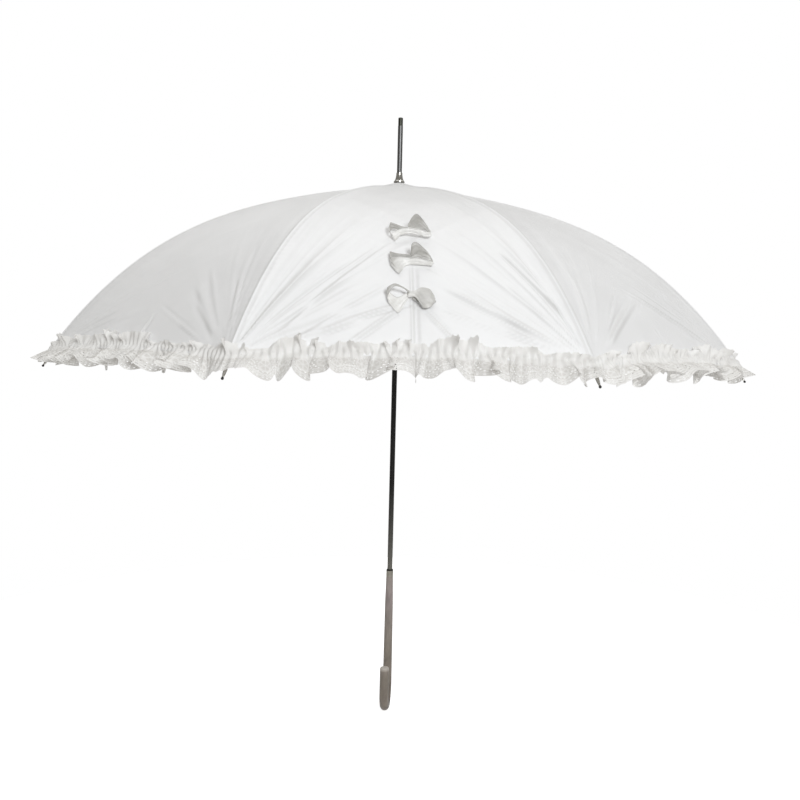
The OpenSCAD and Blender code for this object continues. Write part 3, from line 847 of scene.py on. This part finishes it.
# Each loop of ribbon is a row of its two edges' points, in mm: right, up the panel and off the cloth.
# It starts at the front of the knot, goes out and round, and comes back behind the knot.
TOP_LEFT = [
    ((-1, -5.5, 2), (-1, -4.5, 9)), ((-9, -8, 1.5), (-10, -6, 7.5)), ((-15, -17, 0.8), (-19, -8.5, 4.5)),
    ((-21, -6, 1), (-22, -2, 6)), ((-18, 4, 1.5), (-20, 8, 7)), ((-9, 3, 1), (-8, 6, 4)), ((0, 1, 1), (0, 4, 4)),
]
TOP_RIGHT = [
    ((-1, -5.5, 2), (-1, -4.5, 9)), ((8, -7, 1.5), (8, -5.5, 8)), ((17, -9.5, 0.8), (16.5, -6, 5)),
    ((21, -8, 0.8), (21, -3, 3.5)), ((18, 2, 1), (20, 4, 4)), ((12, 5, 1.5), (7, 9, 17)),
    ((3, 4, 1), (-1, 7, 7.5)), ((0, 1, 1), (-1, 3, 4)),
]
MIDDLE_LEFT = [
    ((-1, -9.5, 0.8), (-1, -6, 6.5)), ((-6, -13, 1), (-8, -5.5, 6.5)), ((-12, -23, 1), (-18, -4, 5)),
    ((-20, -12, 1), (-21.5, -2, 4)), ((-20, 0, 1), (-21, 7, 3.5)), ((-10, 2, 1), (-12, 5, 3)), ((0, 1, 1), (0, 3, 4)),
]
MIDDLE_RIGHT = [
    ((-1, -9.5, 0.8), (-1, -6, 6.5)), ((8, -9.5, 0.8), (8, -6, 6)), ((16, -10, 0.8), (16, -6.5, 3.5)),
    ((21, -10, 0.6), (21, -6, 2.5)), ((19, -3, 1), (19.5, 1, 4)), ((13, 0, 1), (14.5, 6, 8)),
    ((7, 2, 1), (5, 8, 15)), ((3, 1, 1), (0, 6, 13)), ((0, 1, 1), (0, 3, 4)),
]
BOTTOM_LEFT = [
    ((-4, 0, 2), (-3, 8, 3)), ((-7, -6, 1), (-8, 5, 2)), ((-13, -17, 1), (-14, 2, 1.5)), ((-21, -6, 1), (-21, 8, 2)),
    ((-23, 0, 5), (-23, 9, 7)), ((-17, 8, 10), (-18, 11, 9)), ((-9, 7, 8), (-9, 10, 7)), ((-3, 4, 5), (-3, 8, 5)),
]
BOTTOM_RIGHT = [
    ((-4, 1, 3), (-4, 7, 5)), ((3, 0, 4), (3, 7, 6)), ((10, -12, 4), (8, 10, 7)), ((17, -11, 3), (17, 9, 6)),
    ((21, -4, 1.5), (21, 3, 3)), ((16, -9, 1), (16, 6, 1)), ((7, -4, 1), (7, 5, 1)), ((0, 0, 1), (0, 6, 1)),
]
RIBBON_W = 0.016
BOWS = {
    "bow_top": (TOP_LEFT, TOP_RIGHT),
    "bow_middle": (MIDDLE_LEFT, MIDDLE_RIGHT),
    "bow_bottom": (BOTTOM_LEFT, BOTTOM_RIGHT),
}
# Painted shade on the front of a loop where it turns down, by bow and loop.
TURNED_DOWN = {("bow_middle", 0): 0.45, ("bow_bottom", 1): 0.75}


def curve_through(points, count):
    """A smooth curve through points, by Catmull and Rom's rule."""
    p = np.asarray(points, float)
    p = np.concatenate([2 * p[:1] - p[1:2], p, 2 * p[-1:] - p[-2:-1]])
    s = np.linspace(0, len(p) - 3 - 1e-9, count)
    i = s.astype(int)
    f = (s - i)[:, None]
    a, b, c, d = p[i], p[i + 1], p[i + 2], p[i + 3]
    return 0.5 * (2 * b + (c - a) * f + (2 * a - 5 * b + 4 * c - d) * f**2 + (3 * b - a - 3 * c + d) * f**3)


def ribbon_loop(stations, seed):
    """A loop of ribbon with pleats that fan out of the knot and a soft roll at its edges."""
    rng = np.random.default_rng(seed)
    first = curve_through([a for a, _ in stations], 64) * MM
    second = curve_through([b for _, b in stations], 64) * MM
    v = np.linspace(0, 1, 22)[None, :, None]
    grid = first[:, None] * (1 - v) + second[:, None] * v
    along = np.gradient(grid, axis=0)
    across = np.gradient(grid, axis=1)
    n = np.cross(along, across)
    n /= np.maximum(np.linalg.norm(n, axis=-1, keepdims=True), 1e-9)
    u = np.linspace(0, 1, 64)[:, None, None]
    knot = np.exp(-u / 0.16) + np.exp(-(1 - u) / 0.16)
    pleats = sum(np.sin(np.pi * f * v + rng.uniform(0, 6.28)) / f for f in (5, 8, 11)) * 2.6
    billow = np.sin(np.pi * v) * np.sin(np.pi * u) * rng.uniform(0.4, 1.0)
    cross_fold = np.sin(9 * u + 5 * v + rng.uniform(0, 6)) * np.sin(np.pi * u)
    crumple = np.abs(np.sin(13 * u + 7 * v + rng.uniform(0, 6))) * np.sin(np.pi * u)
    lift = 0.0006 * pleats * (0.35 + knot) + 0.0010 * billow + 0.0006 * cross_fold + 0.0008 * crumple
    return grid + n * np.clip(lift, -0.0016, 0.0022)


def ribbon_bow(name):
    at = BOW_RADII[name]
    centre = np.array([0.0, -at * COS_HALF, APEX_Z - dome(at)])
    angle = math.atan(float(dome_slope(at)) / COS_HALF)
    up_panel = np.array([0.0, math.cos(angle), math.sin(angle)])
    off = np.array([0.0, -math.sin(angle), math.cos(angle)])
    points, faces, uvs, shades, count = [], [], [], [], 0
    for n, stations in enumerate(BOWS[name]):
        grid = ribbon_loop(stations, 60 + 7 * n + len(name))
        rows, cols = grid.shape[:2]
        g = grid.reshape(-1, 3)
        points.append(centre + g[:, :1] * np.array([1.0, 0, 0]) + g[:, 1:2] * up_panel + g[:, 2:3] * off)
        faces.extend((grid_faces(rows, cols) + count).tolist())
        i, j = np.meshgrid(np.arange(rows), np.arange(cols), indexing="ij")
        uvs.append(np.stack([j.ravel() / cols * RIBBON_W, i.ravel() / rows * 0.09], -1))
        # painted shade at the ribbon's two edges, on each loop's back half behind the knot, and where a loop turns
        # down
        edge, back = np.abs(2 * j / (cols - 1) - 1), i / (rows - 1)
        turned = TURNED_DOWN.get((name, n), 0) * smooth(0.12, 0.3, back)
        inner = np.maximum(turned, smooth(0.5, 0.62, back))
        shades.append(np.maximum(0.7 * smooth(0.86, 0.97, edge), inner).ravel())
        count += rows * cols
    points, uvs = np.concatenate(points), np.concatenate(uvs)
    made = piece(f"ribbon_{name}", points, faces, RIBBON, "rib_1", uvs)
    set_shade(made, np.concatenate(shades))
    area = area_of(made.data)
    fold_flat(made)
    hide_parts(name)


for bow_name in BOWS:
    ribbon_bow(bow_name)


# ---------------------------------------------------------------- rib tips

BALL_R = 0.0014


def lathe(name, outline, place, axis, material, body, around=28):
    """A turned piece from (radius, height) points, set at a place along an axis."""
    outline = np.array(outline)
    turn = np.linspace(0, 2 * np.pi, around, endpoint=False)
    x = np.outer(outline[:, 0], np.cos(turn))
    y = np.outer(outline[:, 0], np.sin(turn))
    z = np.repeat(outline[:, 1:2], around, 1)
    local = np.stack([x, y, z], -1).reshape(-1, 3)
    rotation = np.array(Vector(axis).to_track_quat("Z", "Y").to_matrix())
    points = local @ rotation.T + np.asarray(place)
    faces = []
    for i in range(len(outline) - 1):
        for j in range(around):
            a, b = i * around + j, i * around + (j + 1) % around
            faces.append([a, b, b + around, a + around])
    faces.append(list(range(around))[::-1])
    faces.append([(len(outline) - 1) * around + j for j in range(around)])
    return piece(name, points, faces, material, body)


def arc_points(centre, radius, start, end, count, along=0.0):
    """Points of a circle's arc as (radius, height), with angles in degrees from the axis's outward side."""
    angles = np.radians(np.linspace(start, end, count))
    return [(centre + radius * math.cos(a), along + radius * math.sin(a)) for a in angles]


def rib_tip(k):
    """A pressed metal cup that takes the rib's end, and the dark ball that it carries."""
    out, _ = bearing_axes(rib_bearing(k))
    slope = math.atan(float(dome_slope(RADIUS)))
    axis = math.cos(slope) * out - math.sin(slope) * UP
    ends = np.array([v.co for v in frame["nodes"][f"rib_tip_{k}"].data.vertices])
    places = ends @ axis
    centre = ends.mean(0)
    start = centre + axis * (places.min() - centre @ axis)
    length = places.max() - places.min()
    neck = length - 2 * BALL_R
    cup = (
        [(0.0012, 0.0002), (0.0016, 0.0)]
        + arc_points(0.0016, 0.0003, -90, 90, 7, 0.0003)
        + [(0.0016, 0.0009), (0.00165, 0.0030), (0.0013, 0.0060)]
        + [(0.0009, neck - 0.0008), (0.0011, neck - 0.0003), (0.0009, neck + 0.0002)]
    )
    lathe(f"tip_cup_{k}", cup, start, axis, BELL, f"rib_{k}")
    ball = [(0.0008, neck)] + arc_points(0.0, BALL_R, -60, 90, 14, neck + BALL_R * 0.95)
    made = lathe(f"tip_ball_{k}", ball, start, axis, BALL, f"rib_{k}")
    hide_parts(f"rib_tip_{k}")


for k in range(1, PANELS + 1):
    rib_tip(k)


# ---------------------------------------------------------------- CAD nodes keep their shape and take these


def finish_node(name, material):
    obj = frame["nodes"][name]
    obj.data.materials.clear()
    obj.data.materials.append(material)


for name, material in {
    "shaft_tube": SHAFT, "ferrule": CHROME, "ferrule_cap": CAP, "bell": BELL, "crown_hub": STEEL,
    "crown_wire": STEEL, "runner_wire": STEEL, "top_spring": STEEL, "bottom_spring": STEEL,
    "runner": BLACK, "handle": HANDLE, "handle_collar": COLLAR, "handle_ring": DARK, "tie_stud": BELL,
}.items():
    finish_node(name, material)
for k in range(1, PANELS + 1):
    finish_node(f"rib_{k}", STEEL)
    finish_node(f"stretcher_{k}", STEEL)


# ---------------------------------------------------------------- stage, light and camera


def area_light(name, place, target, size, power, colour=(1, 1, 1)):
    light = bpy.data.lights.new(name, "AREA")
    light.shape = "RECTANGLE"
    light.size, light.size_y = size
    light.energy = power
    light.color = colour
    made = bpy.data.objects.new(name, light)
    made.location = place
    made.rotation_euler = (Vector(target) - Vector(place)).to_track_quat("-Z", "Y").to_euler()
    bpy.context.scene.collection.objects.link(made)
    return made


def make_world():
    world = bpy.data.worlds.new("studio")
    bpy.context.scene.world = world
    world.use_nodes = True
    tree = world.node_tree
    tree.nodes["Background"].inputs["Color"].default_value = (1, 0.97, 0.915, 1)
    tree.nodes["Background"].inputs["Strength"].default_value = 0.345
    backdrop = node(tree, "ShaderNodeBackground", Strength=1.0)
    backdrop.inputs["Color"].default_value = (1, 1, 1, 1)
    path = tree.nodes.new("ShaderNodeLightPath")
    mix = tree.nodes.new("ShaderNodeMixShader")
    tree.links.new(path.outputs["Is Camera Ray"], mix.inputs["Fac"])
    tree.links.new(tree.nodes["Background"].outputs["Background"], mix.inputs[1])
    tree.links.new(backdrop.outputs["Background"], mix.inputs[2])
    tree.links.new(mix.outputs["Shader"], tree.nodes["World Output"].inputs["Surface"])


def make_floor():
    """A round floor, no wider than it must be, so that it throws little light up at the canopy's sides."""
    place = (0, 0, FLOOR_Z - 0.0005)
    bpy.ops.mesh.primitive_circle_add(vertices=96, radius=0.85, fill_type="NGON", location=place)
    floor = bpy.context.object
    floor.name = "floor"
    material, tree, shader = new_material("floor_white")
    set_inputs(shader, Roughness=0.9, Specular_IOR_Level=0.1)
    shader.inputs["Base Color"].default_value = (0.9, 0.9, 0.9, 1)
    shader.inputs["Emission Color"].default_value = (1, 1, 1, 1)
    path = tree.nodes.new("ShaderNodeLightPath")
    glow = node(tree, "ShaderNodeMapRange")
    glow.inputs["To Min"].default_value = 0.2
    glow.inputs["To Max"].default_value = 0.75
    tree.links.new(path.outputs["Is Camera Ray"], glow.inputs["Value"])
    tree.links.new(glow.outputs["Result"], shader.inputs["Emission Strength"])
    floor.data.materials.append(material)


def make_camera():
    """The view is from just above the hem, a little to the left of the bowed panel's middle."""
    distance, drop = 1.2137, 0.2189  # from the shaft's axis, and below the apex
    around = 0.0413  # bearing of the camera, to the left of the bowed panel's middle
    pitch, yaw, roll = -0.0615, 0.0069, 0.0246
    place = Vector((-distance * math.sin(around), -distance * math.cos(around), APEX_Z - drop))
    heading = yaw + around
    level = Vector((math.sin(heading), math.cos(heading), 0))
    forward = level * math.cos(pitch) + Vector((0, 0, math.sin(pitch)))
    right = Vector((math.cos(heading), -math.sin(heading), 0))
    up = right.cross(forward)
    right, up = right * math.cos(roll) + up * math.sin(roll), up * math.cos(roll) - right * math.sin(roll)
    data = bpy.data.cameras.new("camera")
    data.sensor_width = 36.0
    data.lens = 39.843
    camera = bpy.data.objects.new("camera", data)
    turn = Matrix((right, up, -forward)).transposed().to_4x4()
    camera.matrix_world = Matrix.Translation(place) @ turn
    bpy.context.scene.collection.objects.link(camera)
    bpy.context.scene.camera = camera


make_world()
make_floor()
make_camera()
area_light("overhead", (0.1, 0.5, 2.4), (0, 0, 0.4), (2.2, 1.8), 17)
area_light("front", (0.6, -2.8, 1.1), (0, 0, 0.4), (0.7, 0.7), 49.5, (0.96, 0.982, 1))
area_light("right", (2.6, 0.3, 0.9), (0, 0, 0.4), (1.4, 1.8), 0.5)
bpy.context.scene.view_settings.view_transform = "Standard"
